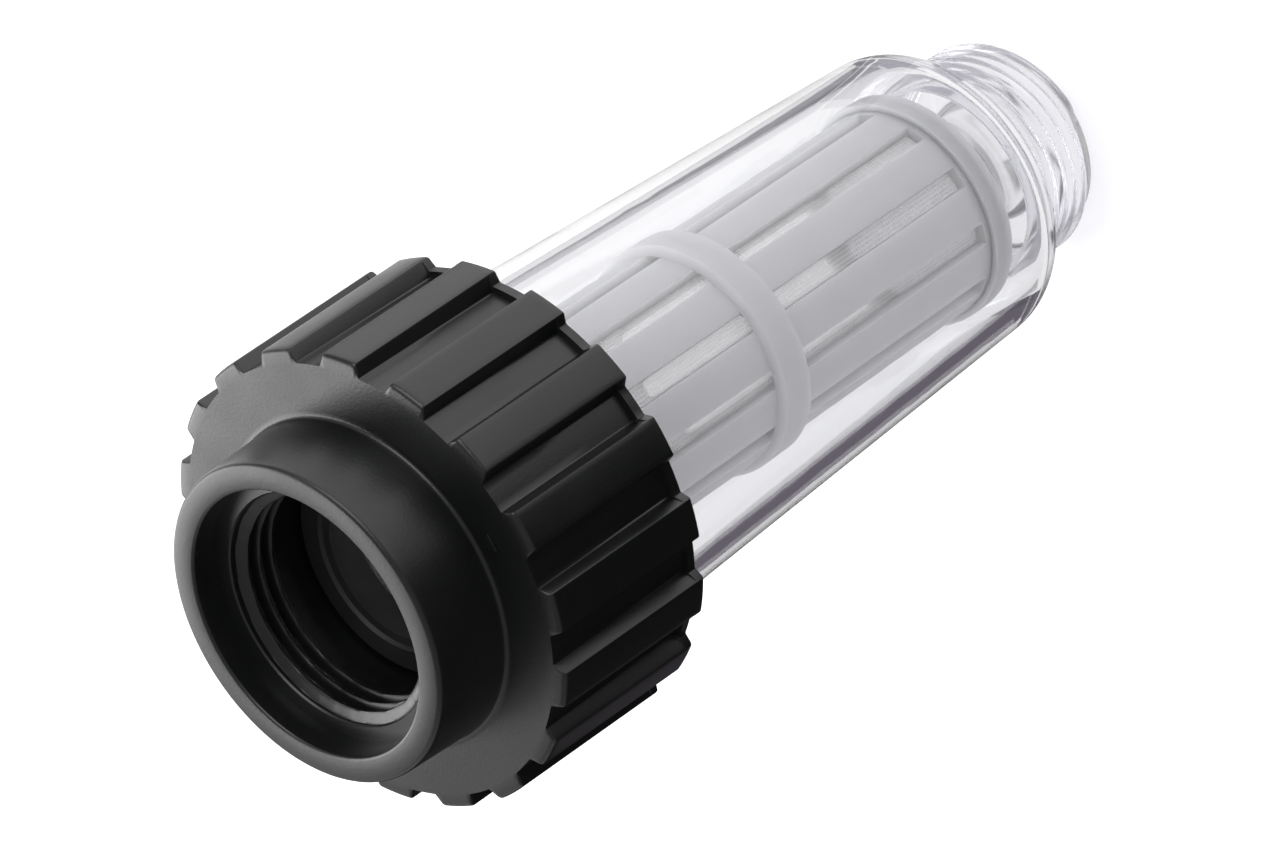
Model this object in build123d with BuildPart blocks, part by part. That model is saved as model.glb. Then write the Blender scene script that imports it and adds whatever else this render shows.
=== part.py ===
from build123d import *
from math import cos, radians, sin, tan
import os

os.makedirs("parts", exist_ok=True)

# Pressure washer inline filter, standing on its male thread with the mouth of the cap up.
# All lengths are in millimetres, all heights are measured from the male end, angles are in degrees.

# Parallel pipe thread G 3/4, the same size at both ends
thread_crest_radius = 13.22
thread_depth = 1.16
thread_lead = 0.7

# Clear housing
stub_length = 13.4
stub_wall = 3.16
stub_bore_lead = 0.6
shoulder_land = 1.08
inner_corner = 1.4
housing_draft = 1.86
housing_wall = 2.1
body_length = 94.0
collar_length = 13.4
collar_thread_height = 1.05
collar_lead = 1.0

# Screw cap
cap_thread_clearance = 0.3
cap_front_wall = 2.6
cap_skirt_length = 19.1
cap_wall = 2.3
rib_front_height = 1.5
rib_rear_height = 1.95
rib_front_chamfer = 0.7
rib_count = 18
rib_edge_chamfer = 0.25
groove_floor_width = 3.3
groove_top_width = 4.8
end_rim_step = 0.7
end_rim_length = 1.1
skirt_lead = 0.8

# Neck of the cap
neck_length = 9.6
neck_wall = 2.95
neck_draft = 3.0
neck_rim_chamfer = 0.6
neck_foot_chamfer = 0.3
mouth_clearance = 1.88
mouth_depth = 3.4
mouth_rim_chamfer = 0.4
thread_length = 6.6
relief_clearance = 0.18
washer_seat_depth = 15.9
socket_floor = 2.1
socket_wall = 2.5
mark_gap = 1.7
mark_size = 2.2
mark_height = 0.3

# Flat seals
washer_thickness = 2.0
washer_clearance = 0.5
washer_bore_step = 0.1
washer_bead_place = 1.3
washer_bead_height = 0.35
outlet_step = 0.3
gasket_thickness = 2.0
gasket_clearance = 0.3

# Strainer
strainer_clearance = 0.2
socket_clearance = 0.4
flange_thickness = 1.6
flange_width = 1.7
funnel_wall = 1.4
funnel_side_gap = 1.15
funnel_gap = 1.0
funnel_floor = 1.5
funnel_bore_step = 0.1
chamber_gap = 2.0
chamber_end_gap = 3.7
cage_wall = 1.2
window_count = 12
window_width = 2.4
window_phase = 10.0
window_end_margin = 4.5
ring_step = 0.9
ring_height = 4.0
ring_place = 42.0
ring_edge = 0.6
mesh_thickness = 0.3
mesh_clearance = 0.1
end_cap_clearance = 0.1
end_cap_wall = 0.8
end_cap_skirt = 2.4
end_cap_floor = 1.2
end_cap_chamfer = 0.9

# How far a cutting outline runs past the face that it cuts
cut_overrun = 2.0

# Heights that follow from the sizes above
rim_height = stub_length + body_length
cavity_top = rim_height + gasket_thickness
face_height = cavity_top + cap_front_wall
mouth_height = face_height + neck_length
skirt_height = cavity_top - cap_skirt_length
washer_seat = mouth_height - washer_seat_depth
socket_bottom = washer_seat - socket_floor
ledge_height = rim_height - flange_thickness
funnel_top = socket_bottom - funnel_gap
cage_top = funnel_top - funnel_floor
floor_height = stub_length + housing_wall
end_cap_bottom = floor_height + chamber_end_gap
cage_bottom = end_cap_bottom + end_cap_floor
ring_middle = cage_top - ring_place

# Radii that follow, from the pipe thread outwards
thread_root_radius = thread_crest_radius - thread_depth
stub_bore_radius = thread_root_radius - stub_wall
mouth_radius = thread_crest_radius + mouth_clearance
neck_radius = mouth_radius + neck_wall
neck_foot_radius = neck_radius + neck_length * tan(radians(neck_draft))
relief_radius = thread_crest_radius + relief_clearance
washer_radius = relief_radius - washer_clearance
washer_bore_radius = stub_bore_radius + washer_bore_step
outlet_radius = washer_bore_radius + outlet_step
socket_radius = relief_radius + socket_wall
funnel_inner_radius = socket_radius + socket_clearance
funnel_radius = funnel_inner_radius + funnel_wall
flange_radius = funnel_radius + flange_width
rim_radius = funnel_radius + funnel_side_gap + housing_wall


def housing_radius(height):
    """Outer radius of the drafted housing body at a height."""
    return rim_radius - (rim_height - height) * tan(radians(housing_draft))


def bore_radius(height):
    """Inner radius of the housing body at a height, one wall inside the outer radius."""
    return housing_radius(height) - housing_wall


shoulder_radius = housing_radius(stub_length)
shoulder_corner = shoulder_radius - thread_crest_radius - shoulder_land
collar_radius = rim_radius + collar_thread_height
cap_bore_radius = collar_radius + cap_thread_clearance
groove_floor_radius = cap_bore_radius + cap_wall
grip_front_radius = groove_floor_radius + rib_front_height
grip_rear_radius = groove_floor_radius + rib_rear_height
end_rim_radius = groove_floor_radius + end_rim_step
end_cap_radius = bore_radius(floor_height) - chamber_gap
cage_radius = end_cap_radius - end_cap_wall - end_cap_clearance
cage_inner_radius = cage_radius - cage_wall
ring_radius = cage_radius + ring_step
mesh_radius = cage_inner_radius - mesh_clearance

# Clear housing: one turned section, from the stub's mouth up the outside and down the bore
collar_bottom = rim_height - collar_length
with BuildPart() as clear_housing:
    with BuildSketch(Plane.XZ):
        with BuildLine():
            outside = Polyline(
                (stub_bore_radius + stub_bore_lead, 0),
                (thread_crest_radius - thread_lead, 0),
                (thread_crest_radius, thread_lead),
                (thread_crest_radius, stub_length),
                (shoulder_radius - shoulder_corner, stub_length),
            )
            shoulder = TangentArc(
                outside @ 1, (shoulder_radius, stub_length + shoulder_corner), tangent=(1, 0)
            )
            Polyline(
                shoulder @ 1,
                (housing_radius(collar_bottom), collar_bottom),
                (collar_radius, collar_bottom + collar_lead),
                (collar_radius, rim_height - collar_lead),
                (collar_radius - collar_lead, rim_height),
                (flange_radius + strainer_clearance, rim_height),
                (flange_radius + strainer_clearance, ledge_height),
                (bore_radius(ledge_height), ledge_height),
                (bore_radius(floor_height), floor_height + inner_corner),
                (bore_radius(floor_height) - inner_corner, floor_height),
                (stub_bore_radius, floor_height),
                (stub_bore_radius, stub_bore_lead),
                outside @ 0,
            )
        make_face()
    revolve(axis=Axis.Z)
clear_housing.part.label = "clear_housing"
export_step(clear_housing.part, "parts/clear_housing.step")

# Screw cap: neck, grip and inner socket turned as one section
thread_top = mouth_height - mouth_depth
thread_bottom = thread_top - thread_length
end_rim_top = skirt_height + end_rim_length
with BuildPart() as screw_cap:
    with BuildSketch(Plane.XZ):
        with BuildLine():
            Polyline(
                (mouth_radius, mouth_height),
                (neck_radius, mouth_height),
                (neck_foot_radius, face_height),
                (grip_front_radius - rib_front_chamfer, face_height),
                (grip_front_radius, face_height - rib_front_chamfer),
                (grip_rear_radius, skirt_height),
                (cap_bore_radius + skirt_lead, skirt_height),
                (cap_bore_radius, skirt_height + skirt_lead),
                (cap_bore_radius, cavity_top),
                (socket_radius, cavity_top),
                (socket_radius, socket_bottom),
                (outlet_radius, socket_bottom),
                (outlet_radius, washer_seat),
                (relief_radius, washer_seat),
                (relief_radius, thread_bottom),
                (thread_root_radius, thread_bottom),
                (thread_root_radius, thread_top - thread_depth),
                (thread_crest_radius, thread_top),
                (mouth_radius, thread_top),
                close=True,
            )
        make_face()
    revolve(axis=Axis.Z)

    # Grooves between the ribs: sloping flanks, a round floor, and a low rim left at the rear end
    flank_slope = (groove_top_width - groove_floor_width) / 2 / rib_rear_height
    groove_inner = groove_floor_radius - cut_overrun
    groove_outer = grip_rear_radius + cut_overrun
    inner_half = groove_floor_width / 2 - cut_overrun * flank_slope
    outer_half = groove_top_width / 2 + cut_overrun * flank_slope
    groove_outline = [
        (groove_inner, -inner_half),
        (groove_outer, -outer_half),
        (groove_outer, outer_half),
        (groove_inner, inner_half),
    ]
    rib_pitch = 360 / rib_count
    for bottom, floor_radius in ((end_rim_top, groove_floor_radius), (skirt_height, end_rim_radius)):
        with BuildSketch(Plane.XY.offset(bottom)):
            with PolarLocations(0, rib_count, start_angle=rib_pitch / 2):
                Polygon(*groove_outline, align=None)
            Circle(floor_radius, mode=Mode.SUBTRACT)
        extrude(amount=face_height - bottom, mode=Mode.SUBTRACT)

    # Broken edges: the rib tops, both edges of the neck's rim and the foot of the neck
    rib_edges = screw_cap.edges().filter_by(
        lambda edge: edge.length > cap_skirt_length / 2
        and Vector((edge @ 0.5).X, (edge @ 0.5).Y).length > groove_floor_radius + rib_front_height / 2
    )
    chamfer(rib_edges, rib_edge_chamfer)
    rim_edges = screw_cap.faces().sort_by(Axis.Z)[-1].edges().sort_by(SortBy.RADIUS)
    chamfer(rim_edges[-1], neck_rim_chamfer)
    chamfer(screw_cap.faces().sort_by(Axis.Z)[-1].edges().sort_by(SortBy.RADIUS)[0], mouth_rim_chamfer)
    foot_edge = screw_cap.edges().filter_by(GeomType.CIRCLE).filter_by(
        lambda edge: abs(edge.radius - neck_foot_radius) < 0.01
    )
    chamfer(foot_edge, neck_foot_chamfer)

    # Small raised triangle that marks the front face, over a rib
    with BuildSketch(Plane.XY.offset(face_height)):
        with Locations((neck_foot_radius + mark_gap + mark_size / 2, 0)):
            Triangle(a=mark_size, b=mark_size, c=mark_size, rotation=-90)
    extrude(amount=mark_height)
screw_cap.part.label = "screw_cap"
export_step(screw_cap.part, "parts/screw_cap.step")

# Neck washer: a flat ring with one raised bead, on the floor of the neck
washer_top = washer_seat + washer_thickness
washer_bead_radius = washer_bore_radius + washer_bead_place
with BuildPart() as neck_washer:
    with BuildSketch(Plane.XZ):
        with BuildLine():
            Polyline(
                (washer_bore_radius, washer_top),
                (washer_bead_radius - washer_bead_height, washer_top),
                (washer_bead_radius, washer_top + washer_bead_height),
                (washer_bead_radius + washer_bead_height, washer_top),
                (washer_radius, washer_top),
                (washer_radius, washer_seat),
                (washer_bore_radius, washer_seat),
                close=True,
            )
        make_face()
    revolve(axis=Axis.Z)
neck_washer.part.label = "neck_washer"
export_step(neck_washer.part, "parts/neck_washer.step")

# Cap gasket: a flat ring on the housing's rim and the strainer's flange, up in the cap's cavity
with BuildPart() as cap_gasket:
    with BuildSketch(Plane.XY.offset(rim_height)):
        Circle(cap_bore_radius - gasket_clearance)
        Circle(socket_radius + socket_clearance, mode=Mode.SUBTRACT)
    extrude(amount=gasket_thickness)
cap_gasket.part.label = "cap_gasket"
export_step(cap_gasket.part, "parts/cap_gasket.step")

# Strainer frame: flange, funnel round the cap's socket, and the cage with its middle ring
funnel_bore_radius = outlet_radius + funnel_bore_step
ring_half = ring_height / 2
with BuildPart() as strainer_frame:
    with BuildSketch(Plane.XZ):
        with BuildLine():
            Polyline(
                (funnel_inner_radius, rim_height),
                (flange_radius, rim_height),
                (flange_radius, ledge_height),
                (funnel_radius, ledge_height),
                (funnel_radius, cage_top),
                (cage_radius, cage_top),
                (cage_radius, ring_middle + ring_half + ring_edge),
                (ring_radius, ring_middle + ring_half),
                (ring_radius, ring_middle - ring_half),
                (cage_radius, ring_middle - ring_half - ring_edge),
                (cage_radius, cage_bottom),
                (cage_inner_radius, cage_bottom),
                (cage_inner_radius, cage_top),
                (funnel_bore_radius, cage_top),
                (funnel_bore_radius, funnel_top),
                (funnel_inner_radius, funnel_top),
                close=True,
            )
        make_face()
    revolve(axis=Axis.Z)

    # Long square-ended windows in two tiers; each cut goes through both sides of the cage
    upper_end = cage_top - window_end_margin
    lower_end = cage_bottom + end_cap_skirt + ring_edge
    tiers = (
        (ring_middle + ring_half + ring_edge, upper_end),
        (lower_end, ring_middle - ring_half - ring_edge),
    )
    for turn in range(window_count // 2):
        angle = window_phase + turn * 360 / window_count
        side = Plane((0, 0, 0), x_dir=(0, 0, 1), z_dir=(cos(radians(angle)), sin(radians(angle)), 0))
        with BuildSketch(side):
            for low, high in tiers:
                with Locations(((low + high) / 2, 0)):
                    Rectangle(high - low, window_width)
        extrude(amount=cage_radius + cut_overrun, both=True, mode=Mode.SUBTRACT)
strainer_frame.part.label = "strainer_frame"
export_step(strainer_frame.part, "parts/strainer_frame.step")

# Strainer mesh: the woven sleeve inside the cage, standing on the end cap's floor
with BuildPart() as strainer_mesh:
    with BuildSketch(Plane.XY.offset(cage_bottom)):
        Circle(mesh_radius)
        Circle(mesh_radius - mesh_thickness, mode=Mode.SUBTRACT)
    extrude(amount=cage_top - cage_bottom - mesh_clearance)
strainer_mesh.part.label = "strainer_mesh"
export_step(strainer_mesh.part, "parts/strainer_mesh.step")

# Strainer end cap: a shallow cup pressed over the closed end of the cage
with BuildPart() as strainer_end_cap:
    with BuildSketch(Plane.XY.offset(end_cap_bottom)):
        Circle(end_cap_radius)
    extrude(amount=end_cap_floor + end_cap_skirt)
    chamfer(strainer_end_cap.faces().sort_by(Axis.Z)[0].edges(), end_cap_chamfer)
    with BuildSketch(Plane.XY.offset(cage_bottom)):
        Circle(cage_radius + end_cap_clearance)
    extrude(amount=end_cap_skirt, mode=Mode.SUBTRACT)
strainer_end_cap.part.label = "strainer_end_cap"
export_step(strainer_end_cap.part, "parts/strainer_end_cap.step")
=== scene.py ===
# %% [markdown]
# # A pressure washer's inline filter
# The filter is a clear moulded housing with a pipe thread on its small end, a black ribbed cap that screws
# onto its wide end, and a strainer that shows through the clear wall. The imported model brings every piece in
# at its real size and place, in metres, standing on the small end with +Z up. Where a piece has threads,
# fine ribs or soft edges that matter to the eye, it is turned again here, on the same sizes.

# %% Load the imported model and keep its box
import bmesh
import bpy
from math import atan2, cos, degrees, floor, hypot, pi, radians, sin, tan, tau
from mathutils import Matrix, Vector


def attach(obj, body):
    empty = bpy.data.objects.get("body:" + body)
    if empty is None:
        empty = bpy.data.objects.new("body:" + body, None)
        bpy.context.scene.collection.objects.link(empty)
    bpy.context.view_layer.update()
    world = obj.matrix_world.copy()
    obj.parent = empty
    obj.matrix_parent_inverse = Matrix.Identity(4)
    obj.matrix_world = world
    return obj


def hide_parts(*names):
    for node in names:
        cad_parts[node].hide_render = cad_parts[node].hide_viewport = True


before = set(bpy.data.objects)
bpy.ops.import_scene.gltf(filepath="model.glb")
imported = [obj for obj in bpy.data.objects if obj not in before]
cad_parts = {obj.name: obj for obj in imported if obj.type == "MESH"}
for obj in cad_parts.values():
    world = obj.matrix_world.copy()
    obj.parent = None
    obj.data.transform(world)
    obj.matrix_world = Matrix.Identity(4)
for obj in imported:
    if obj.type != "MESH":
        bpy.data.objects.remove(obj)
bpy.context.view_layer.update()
print("nodes:", ", ".join(sorted(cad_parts)))

# %% [markdown]
# Small helpers come first. Every length below is written in millimetres, because that is how the filter is
# drawn, and `mm` turns it into metres where a mesh is made.

# %% Lengths and colours
mm = 0.001


def linear(hex_colour):
    """The linear colour that Blender's sockets hold, from an sRGB hex value."""
    channels = [int(hex_colour[place:place + 2], 16) / 255 for place in (1, 3, 5)]
    return [c / 12.92 if c <= 0.04045 else ((c + 0.055) / 1.055) ** 2.4 for c in channels] + [1.0]


print("mid grey #808080 is", [round(c, 3) for c in linear("#808080")[:3]], "in linear light")

# %% One function adds a node with its settings and links


def add_node(material, kind, settings, inputs):
    """Adds one node; settings are its own options, inputs are values or the outputs to link from."""
    node = material.node_tree.nodes.new(kind)
    for name, value in settings.items():
        setattr(node, name, value)
    for name, value in inputs.items():
        if isinstance(value, bpy.types.NodeSocket):
            material.node_tree.links.new(value, node.inputs[name])
        else:
            node.inputs[name].default_value = value
    return node


def new_material(name):
    """An empty node material."""
    material = bpy.data.materials.new(name)
    material.use_nodes = True
    material.node_tree.nodes.clear()
    return material


# %% [markdown]
# Almost everything here is round, so a piece starts as the outline of half its section. The outline is a
# closed ring of corners, some of them bevelled into a soft edge, and `spin` turns it once round the axis.
# A fine spin keeps the clear wall smooth, because a lens-like wall shows every facet.

# %% Turn a section round the filter's axis


def turned(section, steps, soften=()):
    """A bmesh spun from a closed section of (radius, height) corners in mm.

    soften lists (corner number, round in mm, segments) for the corners that get a soft edge.
    """
    mesh = bmesh.new()
    corners = [mesh.verts.new((radius * mm, 0, height * mm)) for radius, height in section]
    for start, end in zip(corners, corners[1:] + corners[:1]):
        mesh.edges.new((start, end))
    for number, size, segments in soften:
        bmesh.ops.bevel(mesh, geom=[corners[number]], offset=size * mm, offset_type="OFFSET",
                        segments=segments, profile=0.5, affect="VERTICES", material=-1)
    bmesh.ops.spin(mesh, geom=mesh.verts[:] + mesh.edges[:], cent=(0, 0, 0), axis=(0, 0, 1),
                   angle=tau, steps=steps, use_merge=True)
    bmesh.ops.remove_doubles(mesh, verts=mesh.verts[:], dist=0.0005 * mm)
    return mesh


def finished(mesh, name, material, sharp_angle=32):
    """Closes a bmesh into an object at the origin, with smooth faces and crisp edges past an angle."""
    bmesh.ops.recalc_face_normals(mesh, faces=mesh.faces[:])
    data = bpy.data.meshes.new(name)
    mesh.to_mesh(data)
    mesh.free()
    data.shade_smooth()
    data.set_sharp_from_angle(angle=radians(sharp_angle))
    data.materials.append(material)
    piece = bpy.data.objects.new(name, data)
    bpy.context.scene.collection.objects.link(piece)
    print(name, "has", len(data.vertices), "vertices and", len(data.polygons), "faces")
    return piece


def rows_between(low, high, spacing):
    """Heights from low to high, evenly spaced at about the given spacing."""
    count = max(1, round((high - low) / spacing))
    return [low + (high - low) * step / count for step in range(count + 1)]


# %% [markdown]
# Screw threads are one shape swept up a helix. The turned wall gets fine rows where a thread belongs, and
# each of their points is then moved in or out by how far up its own turn of the thread it lies. The shape
# comes from a rounded wave, as the crests and roots of a moulded pipe thread are rounded.

# %% Cut a helical thread into a turned wall


def smooth_step(value):
    """0 below 0, 1 above 1 and a soft curve between them."""
    value = min(1.0, max(0.0, value))
    return value * value * (3 - 2 * value)


def thread_height(height, angle, pitch, flat, start, length):
    """How high a right-hand thread stands at a height and an angle, from 0 in the root to 1 at the crest.

    start is the height of the thread's first point at angle 0; it runs on for length mm up the axis,
    and its two ends rise out of the wall within a twentieth of a turn.
    """
    turns = angle / tau
    turn = floor((height - start) / pitch - turns + 0.5)
    along = turn + turns
    offset = abs((height - start) / pitch - along) * 2
    shape = smooth_step((1 - flat - offset) / (1 - 2 * flat))
    ends = smooth_step((along + 0.02) / 0.05) * smooth_step((length / pitch - along + 0.03) / 0.05)
    return shape * ends


def cut_thread(mesh, low, high, root, crest, pitch, flat, start, length):
    """Moves the points of the wall that stand at the root radius, between low and high, out to the thread."""
    for vert in mesh.verts:
        height = vert.co.z / mm
        radius = hypot(vert.co.x, vert.co.y) / mm
        if low < height < high and abs(radius - root) < 0.02:
            share = thread_height(height, atan2(vert.co.y, vert.co.x) % tau, pitch, flat, start, length)
            scale = (root + (crest - root) * share) / radius
            vert.co.x *= scale
            vert.co.y *= scale


# %% [markdown]
# ## The sizes of the filter
# These repeat the drawing: heights are from the small end's face, radii from the axis, all in millimetres.
# Both outer threads are the G 3/4 garden thread, with a pitch of 1.814 mm, and the cap runs on a coarse
# thread with a pitch of 4 mm, which is quick to turn and hard to cross.

# %% Sizes in millimetres
pipe_crest, pipe_root, pipe_pitch = 13.22, 12.06, 1.814
cap_pitch, collar_crest, collar_root = 4.0, 22.0, 20.95
stub_top, floor_top, body_top, face_top, mouth_top = 13.4, 15.5, 107.4, 112.0, 121.6
stub_bore, wall, draft = 8.9, 2.1, tan(radians(1.86))
collar_bottom, ledge, pocket = 94.0, 105.8, 19.6


def body_radius(height):
    """Outer radius of the housing's drafted body."""
    return 20.95 - (body_top - height) * draft


print("body radius from", round(body_radius(stub_top), 2), "to", round(body_radius(body_top), 2), "mm")

# %% [markdown]
# ## Finishes
# The housing is a clear glassy plastic, SAN or polycarbonate, injection moulded. It bends light strongly
# (IOR about 1.57), is almost colourless with a faint cool cast, and has very slight ripples left by the flow
# of the melt. The threaded stub is drawn a little hazier and more tinted than the body, as a thread is harder
# to polish. Light that only passes through the wall on its way to the strainer goes straight, so that the
# inside is lit cleanly.

# %% Clear moulded plastic
clear_plastic = new_material("clear_moulded_san")
place = add_node(clear_plastic, "ShaderNodeTexCoord", {}, {})
ripple = add_node(clear_plastic, "ShaderNodeTexNoise", {}, {
    "Vector": place.outputs["Object"], "Scale": 90.0, "Detail": 2.0})
ripple_bump = add_node(clear_plastic, "ShaderNodeBump", {}, {
    "Height": ripple.outputs["Fac"], "Strength": 0.05, "Distance": 0.3 * mm})
up_axis = add_node(clear_plastic, "ShaderNodeSeparateXYZ", {}, {"Vector": place.outputs["Object"]})
thick_end = add_node(clear_plastic, "ShaderNodeMapRange", {"interpolation_type": "SMOOTHSTEP"}, {
    "Value": up_axis.outputs["Z"], "From Min": 12.2 * mm, "From Max": 13.2 * mm,
    "To Min": 1.0, "To Max": 0.0})
tint = add_node(clear_plastic, "ShaderNodeMix", {"data_type": "RGBA"}, {
    "Factor": thick_end.outputs["Result"], 6: linear("#f9f9fb"), 7: linear("#f1f0f5")})
haze = add_node(clear_plastic, "ShaderNodeMath", {"operation": "MULTIPLY_ADD"}, {
    0: thick_end.outputs["Result"], 1: 0.12, 2: 0.02})
gloss = add_node(clear_plastic, "ShaderNodeBsdfPrincipled", {}, {
    "Base Color": tint.outputs[2], "Roughness": haze.outputs[0], "IOR": 1.57,
    "Transmission Weight": 1.0, "Normal": ripple_bump.outputs["Normal"]})
passing = add_node(clear_plastic, "ShaderNodeBsdfTransparent", {}, {"Color": linear("#f4f4f7")})
ray = add_node(clear_plastic, "ShaderNodeLightPath", {}, {})
straight = add_node(clear_plastic, "ShaderNodeMath", {"operation": "MAXIMUM"}, {
    0: ray.outputs["Is Shadow Ray"], 1: ray.outputs["Is Diffuse Ray"]})
clear_mix = add_node(clear_plastic, "ShaderNodeMixShader", {}, {
    0: straight.outputs[0], 1: gloss.outputs[0], 2: passing.outputs[0]})
add_node(clear_plastic, "ShaderNodeOutputMaterial", {}, {"Surface": clear_mix.outputs[0]})
print("clear plastic, IOR 1.57")

# %% [markdown]
# The cap is black glass-filled nylon, moulded in a lightly blasted steel tool. The tool's grit leaves a grain
# of about a third of a millimetre, which breaks a highlight into a satin sheen, and here and there the skin
# of the moulding is a little glossier.

# %% Black moulded nylon
black_nylon = new_material("black_moulded_nylon")
place = add_node(black_nylon, "ShaderNodeTexCoord", {}, {})
grain = add_node(black_nylon, "ShaderNodeTexNoise", {}, {
    "Vector": place.outputs["Object"], "Scale": 1 / (0.35 * mm), "Detail": 3.0})
clouds = add_node(black_nylon, "ShaderNodeTexNoise", {}, {
    "Vector": place.outputs["Object"], "Scale": 1 / (12 * mm), "Detail": 4.0})
grain_bump = add_node(black_nylon, "ShaderNodeBump", {}, {
    "Height": grain.outputs["Fac"], "Strength": 0.3, "Distance": 0.05 * mm})
satin = add_node(black_nylon, "ShaderNodeMapRange", {}, {
    "Value": clouds.outputs["Fac"], "From Min": 0.3, "From Max": 0.7, "To Min": 0.32, "To Max": 0.42})
tone = add_node(black_nylon, "ShaderNodeMix", {"data_type": "RGBA"}, {
    "Factor": clouds.outputs["Fac"], 6: linear("#060707"), 7: linear("#0b0c0c")})
nylon = add_node(black_nylon, "ShaderNodeBsdfPrincipled", {}, {
    "Base Color": tone.outputs[2], "Roughness": satin.outputs["Result"], "IOR": 1.53,
    "Normal": grain_bump.outputs["Normal"]})
add_node(black_nylon, "ShaderNodeOutputMaterial", {}, {"Surface": nylon.outputs[0]})
print("black nylon with a grain of 0.35 mm")

# %% [markdown]
# Both seals are black nitrile rubber, pressed in a polished tool: smoother than the cap but softer in its
# sheen, with a faint dusty bloom.

# %% Nitrile rubber
black_rubber = new_material("moulded_nitrile_rubber")
place = add_node(black_rubber, "ShaderNodeTexCoord", {}, {})
bloom = add_node(black_rubber, "ShaderNodeTexNoise", {}, {
    "Vector": place.outputs["Object"], "Scale": 1 / (3 * mm), "Detail": 4.0})
dusty = add_node(black_rubber, "ShaderNodeMix", {"data_type": "RGBA"}, {
    "Factor": bloom.outputs["Fac"], 6: linear("#131315"), 7: linear("#1f1f21")})
dull = add_node(black_rubber, "ShaderNodeMapRange", {}, {
    "Value": bloom.outputs["Fac"], "To Min": 0.42, "To Max": 0.62})
bloom_bump = add_node(black_rubber, "ShaderNodeBump", {}, {
    "Height": bloom.outputs["Fac"], "Strength": 0.08, "Distance": 0.05 * mm})
rubber = add_node(black_rubber, "ShaderNodeBsdfPrincipled", {}, {
    "Base Color": dusty.outputs[2], "Roughness": dull.outputs["Result"], "IOR": 1.52,
    "Normal": bloom_bump.outputs["Normal"]})
add_node(black_rubber, "ShaderNodeOutputMaterial", {}, {"Surface": rubber.outputs[0]})
print("black nitrile rubber")

# %% [markdown]
# The strainer's frame and end cap are unpigmented polypropylene, which is milky: light enters it, scatters
# and comes out again, so its shadows are soft and its tone is a pale grey.

# %% Milky polypropylene
milky_plastic = new_material("natural_polypropylene")
place = add_node(milky_plastic, "ShaderNodeTexCoord", {}, {})
milk = add_node(milky_plastic, "ShaderNodeTexNoise", {}, {
    "Vector": place.outputs["Object"], "Scale": 1 / (8 * mm), "Detail": 3.0})
milk_tone = add_node(milky_plastic, "ShaderNodeMix", {"data_type": "RGBA"}, {
    "Factor": milk.outputs["Fac"], 6: linear("#c0c0bf"), 7: linear("#cacac8")})
milk_bump = add_node(milky_plastic, "ShaderNodeBump", {}, {
    "Height": milk.outputs["Fac"], "Strength": 0.06, "Distance": 0.2 * mm})
milky = add_node(milky_plastic, "ShaderNodeBsdfPrincipled", {}, {
    "Base Color": milk_tone.outputs[2], "Roughness": 0.6, "IOR": 1.49, "Transmission Weight": 0.2,
    "Subsurface Weight": 1.0, "Subsurface Radius": (1.0, 1.0, 1.0), "Subsurface Scale": 8 * mm,
    "Normal": milk_bump.outputs["Normal"]})
add_node(milky_plastic, "ShaderNodeOutputMaterial", {}, {"Surface": milky.outputs[0]})
print("milky polypropylene")

# %% [markdown]
# The mesh is woven from fine nylon filament. A real one has a thread every quarter of a millimetre; it is
# drawn with one every 0.45 mm, about the finest that still shows. The pattern wraps round the sleeve: the
# angle round the axis is one direction of the cloth and the height is the other. Light that only passes
# through the mesh meets less of it, so that the inside of the strainer isn't too dark.

# %% Woven nylon filament
thread_spacing, sleeve_radius = 0.45, 11.67
woven_nylon = new_material("woven_nylon_filament")
place = add_node(woven_nylon, "ShaderNodeTexCoord", {}, {})
split = add_node(woven_nylon, "ShaderNodeSeparateXYZ", {}, {"Vector": place.outputs["Object"]})
turn = add_node(woven_nylon, "ShaderNodeMath", {"operation": "ARCTAN2"}, {
    0: split.outputs["Y"], 1: split.outputs["X"]})
threads_round = round(tau * sleeve_radius / thread_spacing / 2) * 2
across = add_node(woven_nylon, "ShaderNodeMath", {"operation": "MULTIPLY"}, {
    0: turn.outputs[0], 1: threads_round / 2})
along = add_node(woven_nylon, "ShaderNodeMath", {"operation": "MULTIPLY"}, {
    0: split.outputs["Z"], 1: pi / (thread_spacing * mm)})
warp = add_node(woven_nylon, "ShaderNodeMath", {"operation": "SINE"}, {0: across.outputs[0]})
weft = add_node(woven_nylon, "ShaderNodeMath", {"operation": "SINE"}, {0: along.outputs[0]})
warp_size = add_node(woven_nylon, "ShaderNodeMath", {"operation": "ABSOLUTE"}, {0: warp.outputs[0]})
weft_size = add_node(woven_nylon, "ShaderNodeMath", {"operation": "ABSOLUTE"}, {0: weft.outputs[0]})
thread_top_of = add_node(woven_nylon, "ShaderNodeMath", {"operation": "MAXIMUM"}, {
    0: warp_size.outputs[0], 1: weft_size.outputs[0]})
cover = add_node(woven_nylon, "ShaderNodeMapRange", {}, {
    "Value": thread_top_of.outputs[0], "From Min": 0.8, "From Max": 1.0, "To Min": 0.2, "To Max": 0.36})
weave_bump = add_node(woven_nylon, "ShaderNodeBump", {}, {
    "Height": thread_top_of.outputs[0], "Strength": 0.5, "Distance": 0.1 * mm})
weave_tone = add_node(woven_nylon, "ShaderNodeMix", {"data_type": "RGBA"}, {
    "Factor": warp_size.outputs[0], 6: linear("#f2f0ea"), 7: linear("#fdfcf9")})
weave_ray = add_node(woven_nylon, "ShaderNodeLightPath", {}, {})
for_light = add_node(woven_nylon, "ShaderNodeMath", {"operation": "MAXIMUM"}, {
    0: weave_ray.outputs["Is Shadow Ray"], 1: weave_ray.outputs["Is Diffuse Ray"]})
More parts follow.
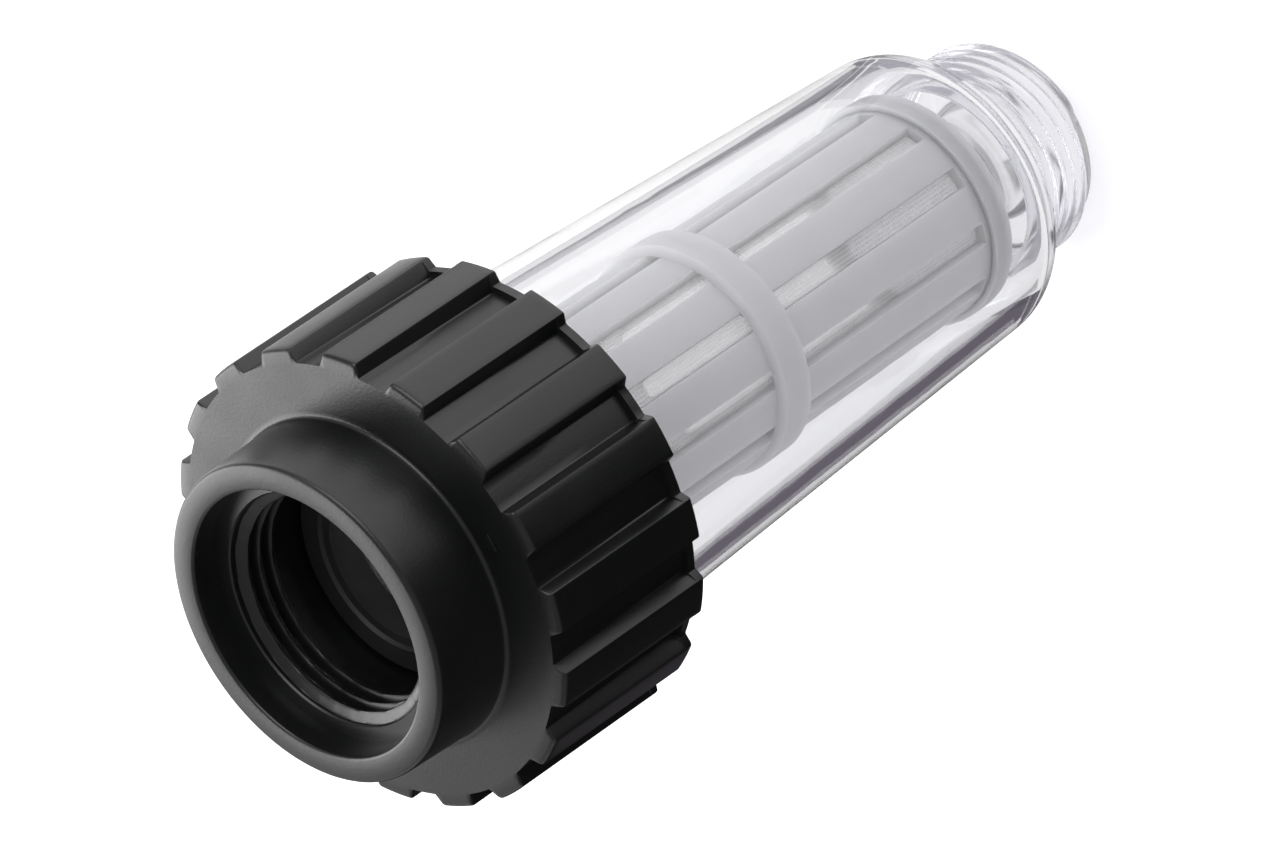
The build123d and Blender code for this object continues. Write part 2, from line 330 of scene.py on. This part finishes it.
light_cover = add_node(woven_nylon, "ShaderNodeMapRange", {}, {
    "Value": for_light.outputs[0], "To Min": 1.0, "To Max": 0.3})
open_cover = add_node(woven_nylon, "ShaderNodeMath", {"operation": "MULTIPLY"}, {
    0: cover.outputs["Result"], 1: light_cover.outputs["Result"]})
filament = add_node(woven_nylon, "ShaderNodeBsdfPrincipled", {}, {
    "Base Color": weave_tone.outputs[2], "Roughness": 0.5, "IOR": 1.53, "Alpha": open_cover.outputs[0],
    "Transmission Weight": 0.2, "Normal": weave_bump.outputs["Normal"]})
add_node(woven_nylon, "ShaderNodeOutputMaterial", {}, {"Surface": filament.outputs[0]})
print(threads_round, "threads round the sleeve")

# %% [markdown]
# ## The clear housing
# The housing is one closed section: up the outside over the threaded stub, the round shoulder and the
# drafted body to the collar, then down the bore. The wall is real on both faces, because it is the two
# faces together that bend what is seen through it. Extra corners just past each soft edge keep the long
# straight walls from shading as if they curved.

# %% Turn the housing
stub_rows = [(pipe_root, height) for height in rows_between(0.45, 12.9, 0.075)]
collar_rows = [(collar_root, height) for height in rows_between(94.6, 106.9, 0.35)]
housing_section = (
    [(stub_bore + 0.6, 0.0), (pipe_root - 0.4, 0.0)]
    + stub_rows
    + [(pipe_root, stub_top), (body_radius(stub_top), stub_top)]
    + [(body_radius(height), height) for height in (17.6, 93.6, collar_bottom)]
    + collar_rows
    + [(collar_root - 0.5, body_top), (pocket, body_top), (pocket, ledge)]
    + [(body_radius(height) - wall, height) for height in (ledge, 105.4, 17.8, floor_top)]
    + [(stub_bore + 0.5, floor_top), (stub_bore, floor_top - 0.5), (stub_bore, 0.6)]
)
foot = 2 + len(stub_rows)
floor_corner = len(housing_section) - 4
housing_mesh = turned(housing_section, 192, soften=(
    (1, 0.25, 3), (foot, 0.45, 3), (foot + 1, 3.6, 12), (floor_corner, 1.6, 6)))
cut_thread(housing_mesh, 0.4, 13.0, pipe_root, pipe_crest - 0.02, pipe_pitch, 0.06, 1.3, 10.9)
cut_thread(housing_mesh, 94.5, 107.0, collar_root, collar_crest - 0.05, cap_pitch, 0.14, 96.2, 9.4)
housing = finished(housing_mesh, "clear_housing_moulding", clear_plastic, sharp_angle=62)
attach(housing, "housing")
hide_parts("clear_housing")

# %% [markdown]
# ## The screw cap
# The cap starts as a plain turned section, like the housing. Its grip has 18 ribs: the columns of the spin
# are first slid round so that they gather at the ribs' edges, and between the ribs the wall is then drawn
# in to the groove's floor. The columns at an edge are drawn in by only a part, which rounds it over.

# %% Sizes of the cap in millimetres
mouth, neck, neck_draft = 15.1, 18.05, tan(radians(3.0))
cavity_top, skirt_end, rim_top = 109.4, 90.3, 91.4
groove_floor, end_rim, rib_front, rib_rear = 24.6, 25.3, 26.1, 26.55
thread_low, thread_high = 111.6, 118.2
socket, outlet, relief, seat, socket_end = 15.9, 9.3, 13.4, 105.7, 103.6
rib_columns = (0, 1.6, 3.2, 4.30, 4.70, 4.95, 6.05, 6.40, 8.2, 10)
rib_heights = (1, 1, 1, 1, 0.97, 0.86, 0.06, 0, 0, 0)
half = len(rib_columns) - 1
rib_count = 18


def rib_radius(height):
    """Radius over the ribs, which widen a little from the front to the rear."""
    return rib_front + (rib_rear - rib_front) * (face_top - height) / (face_top - skirt_end)


print("grip of", rib_count, "ribs,", round(rib_radius(100) - groove_floor, 2), "mm deep at the middle")

# %% Turn the cap
skirt_rows = [(22.3, height) for height in rows_between(91.2, 108.4, 0.35)]
mouth_rows = [(pipe_crest, height) for height in rows_between(111.75, 118.0, 0.1)]
cap_section = (
    [(mouth, mouth_top), (neck, mouth_top)]
    + [(neck + (mouth_top - height) * neck_draft, height) for height in (120.4, 112.7, face_top)]
    + [(19.3, face_top), (24.4, face_top), (rib_front, face_top)]
    + [(rib_radius(height), height) for height in (110.9, 104.0, 98.0, 92.2, rim_top + 0.12, rim_top)]
    + [(rib_rear, skirt_end), (23.1, skirt_end)]
    + skirt_rows
    + [(22.3, cavity_top), (socket, cavity_top), (socket, socket_end), (outlet, socket_end)]
    + [(outlet, seat), (relief, seat), (relief, thread_low), (pipe_crest, thread_low + 0.1)]
    + mouth_rows
    + [(pipe_crest + 0.15, thread_high), (mouth, thread_high)]
)
cap_mesh = turned(cap_section, 2 * half * rib_count, soften=(
    (0, 0.35, 3), (1, 0.5, 4), (4, 0.4, 3), (7, 0.55, 4), (14, 0.3, 3)))
cut_thread(cap_mesh, 91.1, 108.5, 22.3, collar_root + 0.2, cap_pitch, 0.14, 92.2, 15.6)
cut_thread(cap_mesh, 111.7, 118.1, pipe_crest, pipe_root, pipe_pitch, 0.14, 112.2, 5.6)
print("the cap's section has", len(cap_section), "corners")

# %% Draw in the grooves between the ribs
column_angle = 180 / half / rib_count
for vert in cap_mesh.verts:
    radius = hypot(vert.co.x, vert.co.y) / mm
    height = vert.co.z / mm
    column = round(degrees(atan2(vert.co.y, vert.co.x)) / column_angle) % (2 * half * rib_count)
    rib, step = divmod(column, 2 * half)
    centre = 360 / rib_count * (rib + (step > half))
    from_centre = min(step, 2 * half - step)
    angle = radians(centre + (rib_columns[from_centre] if step <= half else -rib_columns[from_centre]))
    low = groove_floor if height > rim_top + 0.05 else end_rim
    if radius > low and height < face_top + 0.01:
        radius = low + (radius - low) * rib_heights[from_centre]
    vert.co.x = radius * mm * cos(angle)
    vert.co.y = radius * mm * sin(angle)
cap = finished(cap_mesh, "screw_cap_moulding", black_nylon)
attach(cap, "cap")
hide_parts("screw_cap")

# %% [markdown]
# A small raised triangle on the cap's front face marks where the thread starts. It begins as a flat
# three-cornered circle, is pulled up and has its edges broken.

# %% Raise the triangle mark
mark_mesh = bmesh.new()
bmesh.ops.create_circle(mark_mesh, cap_ends=True, radius=1.25 * mm, segments=3)
lifted = bmesh.ops.extrude_face_region(mark_mesh, geom=mark_mesh.faces[:])
top = [item for item in lifted["geom"] if isinstance(item, bmesh.types.BMVert)]
bmesh.ops.translate(mark_mesh, verts=top, vec=(0, 0, 0.5 * mm))
bmesh.ops.bevel(mark_mesh, geom=mark_mesh.edges[:], offset=0.1 * mm, offset_type="OFFSET", segments=2,
                profile=0.5, affect="EDGES", material=-1)
bmesh.ops.rotate(mark_mesh, verts=mark_mesh.verts[:], matrix=Matrix.Rotation(radians(90), 3, "Z"))
bmesh.ops.translate(mark_mesh, verts=mark_mesh.verts[:], vec=(20.6 * mm, 0, (face_top - 0.22) * mm))
mark = finished(mark_mesh, "raised_triangle_mark", black_nylon)
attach(mark, "cap")

# %% [markdown]
# ## The seals
# Both seals are plain flat rings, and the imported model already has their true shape, so they only get their
# rubber.

# %% Finish the seals
for name in ("neck_washer", "cap_gasket"):
    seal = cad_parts[name]
    seal.data.materials.clear()
    seal.data.materials.append(black_rubber)
    print(name, "is rubber")

# %% [markdown]
# ## The strainer
# The cage is a thin sleeve with 12 long windows in each of its two tiers. The sleeve starts as one turned
# sheet without thickness. The faces where the windows belong are deleted, and `solidify` then gives the
# sheet its wall and closes the windows' sides. The flange and the funnel at its top are turned as a solid.

# %% Sizes of the strainer in millimetres
cage_radius, cage_wall, cage_low, cage_high = 12.966, 1.2, 20.4, 101.1
ring_radius, ring_middle, ring_half = 13.866, 59.1, 2.0
window_columns = (0, 2.65, 5.3, 7.9, 11.2, 15)
tiers = ((23.4, 56.5), (61.7, 96.6))
print("two tiers of 12 windows,", [round(high - low, 1) for low, high in tiers], "mm long")

# %% Turn the cage and cut its windows
cage = bmesh.new()
cage_line = [(cage_radius, height) for height in (cage_low, tiers[0][0], tiers[0][1])]
cage_line += [(ring_radius, ring_middle - ring_half), (ring_radius, ring_middle + ring_half)]
cage_line += [(cage_radius, height) for height in (tiers[1][0], tiers[1][1], cage_high)]
line = [cage.verts.new((radius * mm, 0, height * mm)) for radius, height in cage_line]
for start, end in zip(line, line[1:]):
    cage.edges.new((start, end))
window_half = len(window_columns) - 1
bmesh.ops.spin(cage, geom=cage.verts[:] + cage.edges[:], cent=(0, 0, 0), axis=(0, 0, 1), angle=tau,
               steps=24 * window_half, use_merge=True)
bmesh.ops.remove_doubles(cage, verts=cage.verts[:], dist=0.0005 * mm)
for vert in cage.verts:
    column = round(degrees(atan2(vert.co.y, vert.co.x)) / 3) % 120
    window, step = divmod(column, 2 * window_half)
    shift = window_columns[min(step, 2 * window_half - step)]
    angle = 30 * (window + (step > window_half)) + (shift if step <= window_half else -shift) + 10
    radius = hypot(vert.co.x, vert.co.y)
    vert.co.x = radius * cos(radians(angle))
    vert.co.y = radius * sin(radians(angle))
open_faces = []
for face in cage.faces:
    middle = face.calc_center_median()
    off_window = abs((degrees(atan2(middle.y, middle.x)) - 10 + 15) % 30 - 15)
    if off_window < 5.3 and any(low < middle.z / mm < high for low, high in tiers):
        open_faces.append(face)
bmesh.ops.delete(cage, geom=open_faces, context="FACES")
bmesh.ops.recalc_face_normals(cage, faces=cage.faces[:])
if cage.faces[:][0].normal.dot(cage.faces[:][0].calc_center_median() * Vector((1, 1, 0))) < 0:
    bmesh.ops.reverse_faces(cage, faces=cage.faces[:])
bmesh.ops.solidify(cage, geom=cage.faces[:], thickness=cage_wall * mm)
print("windows cut out of", len(open_faces), "faces")

# %% Turn the funnel and the flange, and join them to the cage
funnel = turned([
    (16.3, 107.4), (19.4, 107.4), (19.4, 105.8), (17.7, 105.8), (17.7, 101.1), (11.4, 101.1), (9.4, 101.1),
    (9.4, 102.6), (16.3, 102.6),
], 128, soften=((1, 0.3, 3), (4, 0.5, 3), (6, 0.2, 2)))
funnel_data = bpy.data.meshes.new("funnel")
funnel.to_mesh(funnel_data)
funnel.free()
cage.from_mesh(funnel_data)
bpy.data.meshes.remove(funnel_data)
strainer = finished(cage, "strainer_frame_moulding", milky_plastic)
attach(strainer, "housing")
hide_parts("strainer_frame")

# %% Turn the end cap that closes the cage
end_cup = turned([
    (0.6, 19.2), (13.866, 19.2), (13.866, 22.8), (13.066, 22.8), (13.066, 20.4), (0.6, 20.4),
], 128, soften=((1, 1.2, 5), (2, 0.25, 2)))
hole_radius = 0.7
for ring_height in (19.2, 20.4):
    rim = [edge for edge in end_cup.edges
           if all(hypot(v.co.x, v.co.y) < hole_radius * mm for v in edge.verts)
           and all(abs(v.co.z / mm - ring_height) < 0.01 for v in edge.verts)]
    bmesh.ops.contextual_create(end_cup, geom=rim)
inner = [face for face in end_cup.faces
         if all(hypot(v.co.x, v.co.y) < hole_radius * mm for v in face.verts) and abs(face.normal.z) < 0.5]
bmesh.ops.delete(end_cup, geom=inner, context="FACES_ONLY")
end_cap = finished(end_cup, "strainer_end_cap_moulding", milky_plastic)
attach(end_cap, "housing")
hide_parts("strainer_end_cap")

# %% Turn the woven sleeve
sleeve = turned([(11.67, 20.4), (11.67, 101.0), (11.37, 101.0), (11.37, 20.4)], 128)
woven_sleeve = finished(sleeve, "woven_sleeve", woven_nylon)
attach(woven_sleeve, "housing")
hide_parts("strainer_mesh")

# %% [markdown]
# ## The studio
# The camera stands where the photograph's did: it looks down at the cap from in front, and is rolled so far
# that the filter, which stands upright, lies across the picture. A long lens keeps both ends alike in size.

# %% Camera at the photograph's viewing angle
camera_azimuth, camera_elevation, camera_roll = 10.65, 40.25, 124.68
camera_distance, camera_aim = 534.6, Vector((0.489, -2.597, 70.218))
towards = Vector((
    cos(radians(camera_elevation)) * cos(radians(camera_azimuth)),
    cos(radians(camera_elevation)) * sin(radians(camera_azimuth)),
    sin(radians(camera_elevation)),
))
upright = towards.to_track_quat("Z", "Y").to_matrix()
rolled = upright @ Matrix.Rotation(-radians(camera_roll), 3, "Z")
lens = bpy.data.cameras.new("product_camera")
lens.sensor_width = 36.0
lens.lens = 5000 / 1280 * lens.sensor_width
camera = bpy.data.objects.new("product_camera", lens)
camera.matrix_world = Matrix.Translation((camera_aim + towards * camera_distance) * mm) @ rolled.to_4x4()
bpy.context.scene.collection.objects.link(camera)
bpy.context.scene.camera = camera
camera_place = [round(v * 1000, 1) for v in camera.matrix_world.translation]
print("camera at", camera_place, "mm, lens", round(lens.lens), "mm")

# %% [markdown]
# The filter stands on a white floor in a white room, as in a catalogue. The world is plain white to the
# camera and as a light. In reflections and through the clear wall it is white behind the filter and darkens
# to about a third on the camera's side, so that gloss and clear edges have something dark to show.

# %% White world
world = bpy.data.worlds.new("white_room")
world.use_nodes = True
world.node_tree.nodes.clear()
world_ray = add_node(world, "ShaderNodeLightPath", {}, {})
room_place = add_node(world, "ShaderNodeTexCoord", {}, {})
backdrop_side = add_node(world, "ShaderNodeVectorMath", {"operation": "DOT_PRODUCT"}, {
    0: room_place.outputs["Generated"], 1: -towards})
room_tone = add_node(world, "ShaderNodeMapRange", {}, {
    "Value": backdrop_side.outputs["Value"], "From Min": -0.1, "From Max": 0.6,
    "To Min": 0.35, "To Max": 1.0})
through_or_mirrored = add_node(world, "ShaderNodeMath", {"operation": "MAXIMUM"}, {
    0: world_ray.outputs["Is Transmission Ray"], 1: world_ray.outputs["Is Glossy Ray"]})
lit_room = add_node(world, "ShaderNodeMix", {"data_type": "FLOAT"}, {
    "Factor": through_or_mirrored.outputs[0], 2: 1.0, 3: room_tone.outputs["Result"]})
strength = add_node(world, "ShaderNodeMix", {"data_type": "FLOAT"}, {
    "Factor": world_ray.outputs["Is Camera Ray"], 2: lit_room.outputs[0], 3: 1.0})
room = add_node(world, "ShaderNodeBackground", {}, {
    "Color": linear("#ffffff"), "Strength": strength.outputs[0]})
add_node(world, "ShaderNodeOutputWorld", {}, {"Surface": room.outputs[0]})
bpy.context.scene.world = world
print("white room")

# %% [markdown]
# The floor is plain paper to the camera and the lamps, with a little glow of its own that brings it to white
# and leaves the shadow. Seen through the clear wall it is white near the filter and fades with distance. In
# the gloss of the black cap it is bright on one side and dark on the other. The test for what is seen through
# the wall comes last, because such a ray also counts as a glossy one.

# %% White floor that keeps the shadow
floor_mesh = bmesh.new()
bmesh.ops.create_grid(floor_mesh, x_segments=1, y_segments=1, size=1.5)
floor_data = bpy.data.meshes.new("studio_floor")
floor_mesh.to_mesh(floor_data)
floor_mesh.free()
studio_floor = bpy.data.objects.new("studio_floor", floor_data)
bpy.context.scene.collection.objects.link(studio_floor)
white_paper = new_material("white_paper")
paper_ray = add_node(white_paper, "ShaderNodeLightPath", {}, {})
paper_place = add_node(white_paper, "ShaderNodeTexCoord", {}, {})
paper = add_node(white_paper, "ShaderNodeBsdfDiffuse", {}, {"Color": linear("#e4e4e4")})
paper_glow = add_node(white_paper, "ShaderNodeMath", {"operation": "MULTIPLY"}, {
    0: paper_ray.outputs["Is Camera Ray"], 1: 0.22})
paper_light = add_node(white_paper, "ShaderNodeEmission", {}, {"Strength": paper_glow.outputs[0]})
paper_sum = add_node(white_paper, "ShaderNodeAddShader", {}, {
    0: paper.outputs[0], 1: paper_light.outputs[0]})
paper_reach = add_node(white_paper, "ShaderNodeVectorMath", {"operation": "LENGTH"}, {
    0: paper_place.outputs["Object"]})
paper_fade = add_node(white_paper, "ShaderNodeMapRange", {"interpolation_type": "SMOOTHSTEP"}, {
    "Value": paper_reach.outputs["Value"], "From Min": 0.1, "From Max": 0.28,
    "To Min": 1.0, "To Max": 0.55})
paper_through = add_node(white_paper, "ShaderNodeEmission", {}, {"Strength": paper_fade.outputs["Result"]})
bright_side = add_node(white_paper, "ShaderNodeVectorMath", {"operation": "DOT_PRODUCT"}, {
    0: paper_place.outputs["Object"], 1: (-0.1, 0.99, 0)})
sheen = add_node(white_paper, "ShaderNodeMapRange", {"interpolation_type": "SMOOTHSTEP"}, {
    "Value": bright_side.outputs["Value"], "From Min": -0.04, "From Max": 0.09,
    "To Min": 0.02, "To Max": 1.6})
paper_mirrored = add_node(white_paper, "ShaderNodeEmission", {}, {"Strength": sheen.outputs["Result"]})
paper_seen = add_node(white_paper, "ShaderNodeMixShader", {}, {
    0: paper_ray.outputs["Is Glossy Ray"], 1: paper_sum.outputs[0], 2: paper_mirrored.outputs[0]})
paper_all = add_node(white_paper, "ShaderNodeMixShader", {}, {
    0: paper_ray.outputs["Is Transmission Ray"], 1: paper_seen.outputs[0], 2: paper_through.outputs[0]})
add_node(white_paper, "ShaderNodeOutputMaterial", {}, {"Surface": paper_all.outputs[0]})
floor_data.materials.append(white_paper)

# %% [markdown]
# Clear plastic only shows its edges where it bends something dark into view. These three flat sheets are
# painted shade: they glow a fixed grey, lie on the floor behind the filter and stand in for the shaded floor
# that the clear wall and the gloss show, the darkest one on the side where the picture's wall is dark. The
# camera and the lamps don't see them, only the clear wall and the gloss do.

# %% Glowing dark cards: painted shade for the edges of the clear wall


def add_card(name, corners, colour):
    """A flat glowing card just above the floor, with its corners in mm: painted shade, seen only by gloss and
    through the wall.
    """
    sheet = bmesh.new()
    sheet.faces.new([sheet.verts.new((x * mm, y * mm, 1 * mm)) for x, y in corners])
    data = bpy.data.meshes.new(name)
    sheet.to_mesh(data)
    sheet.free()
    card = bpy.data.objects.new(name, data)
    bpy.context.scene.collection.objects.link(card)
    card.visible_camera = card.visible_diffuse = card.visible_shadow = False
    paper = new_material(name + "_paper")
    # The card glows its fixed colour as painted shade, seen through the clear wall and in the gloss.
    card_glow = add_node(paper, "ShaderNodeEmission", {}, {"Color": linear(colour)})
    add_node(paper, "ShaderNodeOutputMaterial", {}, {"Surface": card_glow.outputs[0]})
    data.materials.append(paper)


add_card("dark_card", ((0, -21), (6, -46), (-75, -215), (-95, -98)), "#67626b")
add_card("grey_card", ((-10, 20), (-127, 132), (-160, 165), (-175, 290), (-12, 40)), "#8a888e")
add_card("low_card", ((2, 18), (-9, 18), (-11, 40), (6, 40)), "#a5a3ab")
print("three cards")

# %% Soft lamps


def add_softbox(name, direction, distance, size, power):
    """A square soft lamp that faces the middle of the filter."""
    lamp = bpy.data.lights.new(name, "AREA")
    lamp.size = size
    lamp.energy = power
    holder = bpy.data.objects.new(name, lamp)
    aim = Vector((0, 0, 0.07))
    holder.location = aim + Vector(direction).normalized() * distance
    holder.rotation_euler = Vector(direction).to_track_quat("Z", "Y").to_euler()
    bpy.context.scene.collection.objects.link(holder)
    return holder


add_softbox("key_softbox", (0.5, 0.8, 0.6), 0.6, 0.4, 1.6)
add_softbox("side_softbox", (-0.75, 0.25, 0.6), 0.35, 0.25, 1.0)
bpy.context.scene.view_settings.view_transform = "Standard"
print("two soft lamps")
